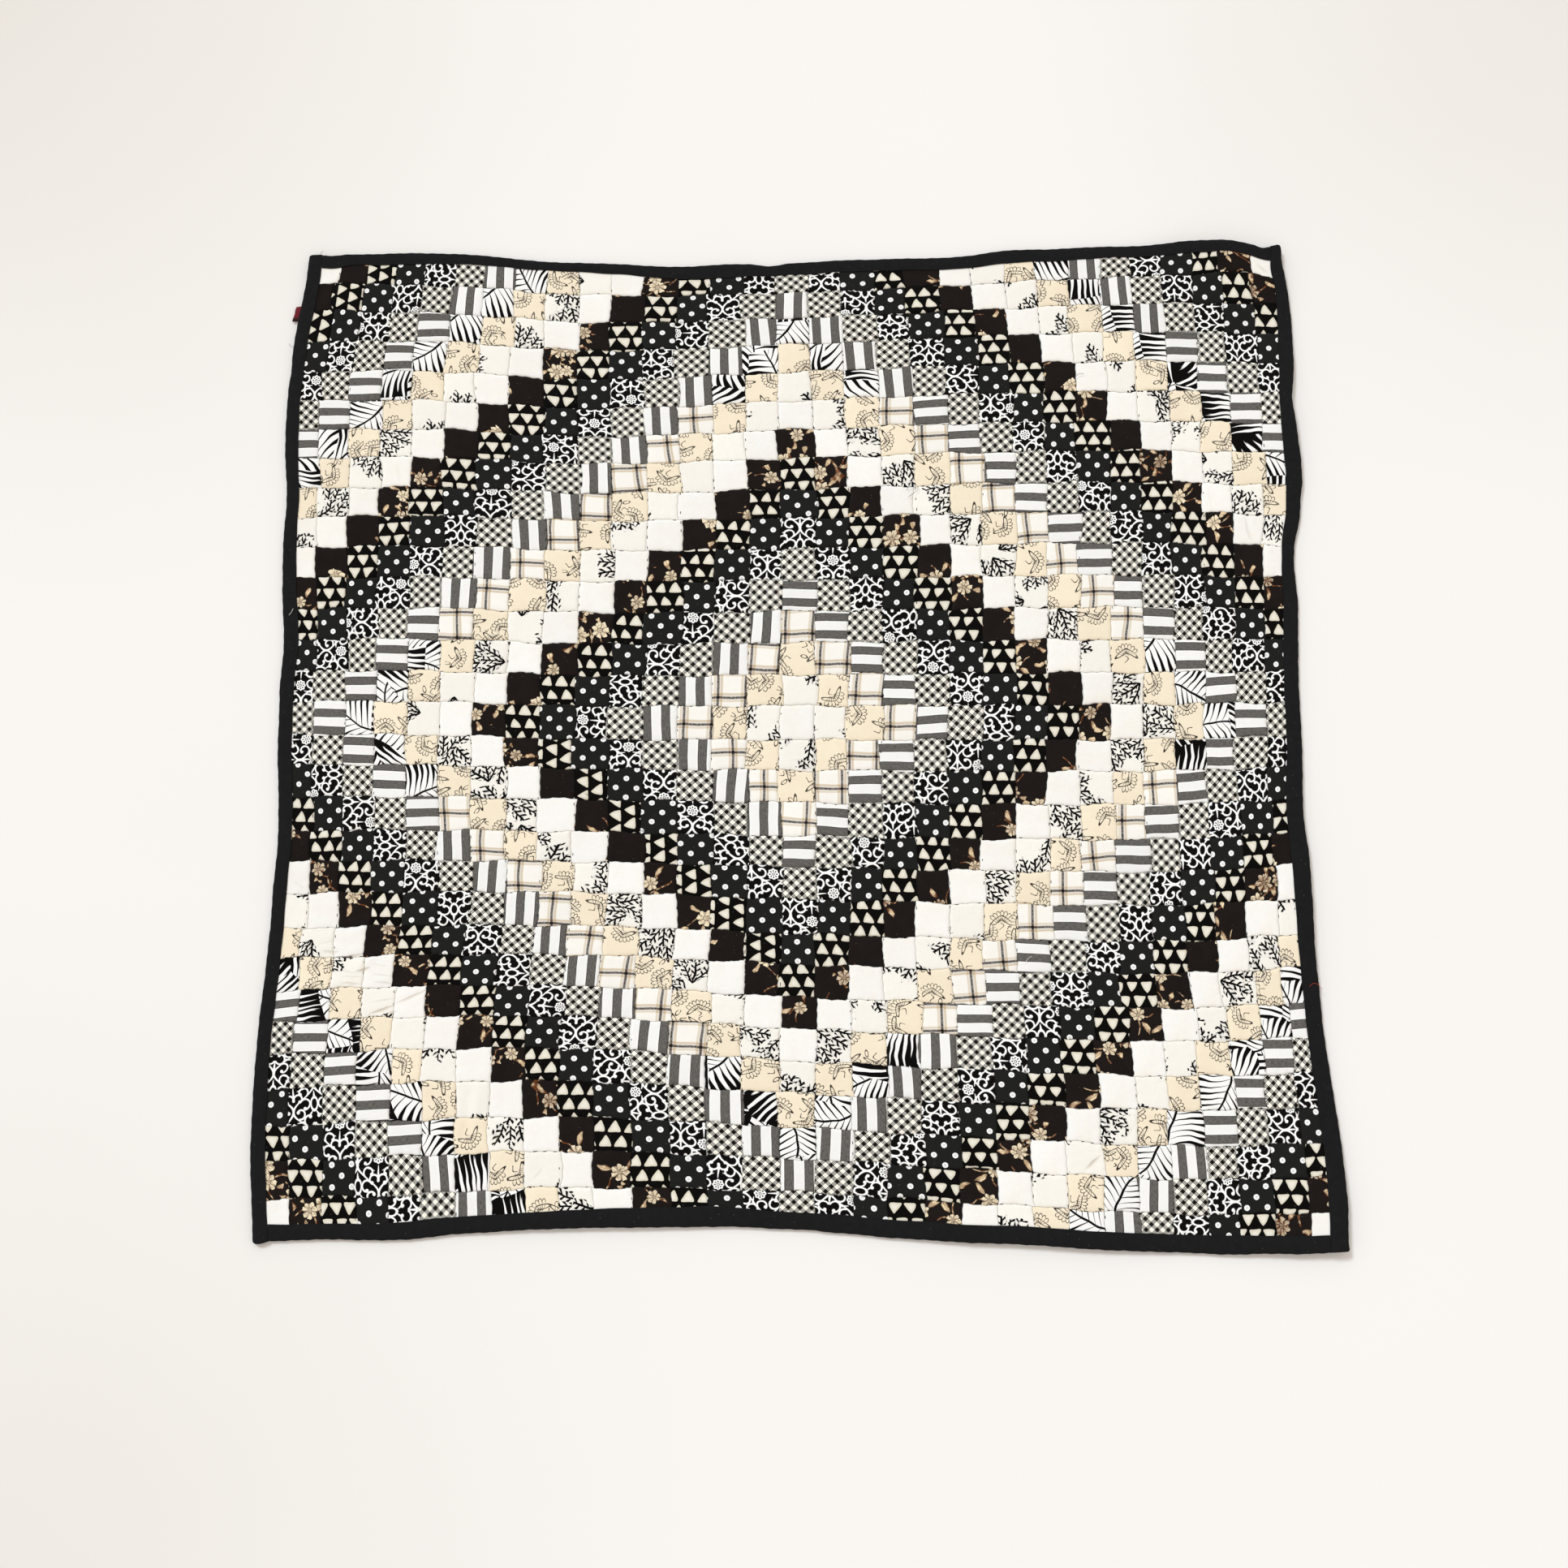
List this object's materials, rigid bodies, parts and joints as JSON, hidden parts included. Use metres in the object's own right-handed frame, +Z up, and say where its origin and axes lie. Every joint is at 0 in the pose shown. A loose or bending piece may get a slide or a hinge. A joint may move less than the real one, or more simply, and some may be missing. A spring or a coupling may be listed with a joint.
{
  "type": "patchwork quilt mat",
  "caption": "Flat square quilted mat pieced from small printed cotton squares in stepped diamonds, with a folded dark binding and a ribbon tag at one edge.",
  "frame": {"origin": "middle of the outline, on the surface the mat lies on", "axes": "+X to the right, +Y to the far edge, +Z up out of the pieced face; the tag is on the -X edge near +Y"},
  "size_m": [0.9309, 0.9219, 0.0137],
  "materials": {
    "patchwork": "printed and plain weave cotton squares, quilted, matt",
    "binding": "plain weave black cotton, matt",
    "tag_ribbon": "dark red woven ribbon, slight sheen",
    "backing": "plain weave black cotton, quilted, matt",
    "light_prints": "white, ivory and beige cottons, plain and printed, matt",
    "dark_prints": "black and charcoal cottons, printed, matt",
    "thread": "black cotton sewing thread, matt"
  },
  "bodies": {
    "root": {"quilt_panel": "patchwork", "binding_left": "binding", "binding_right": "binding", "binding_top": "binding", "binding_bottom": "binding", "side_tag": "tag_ribbon"}
  },
  "joints": []
}
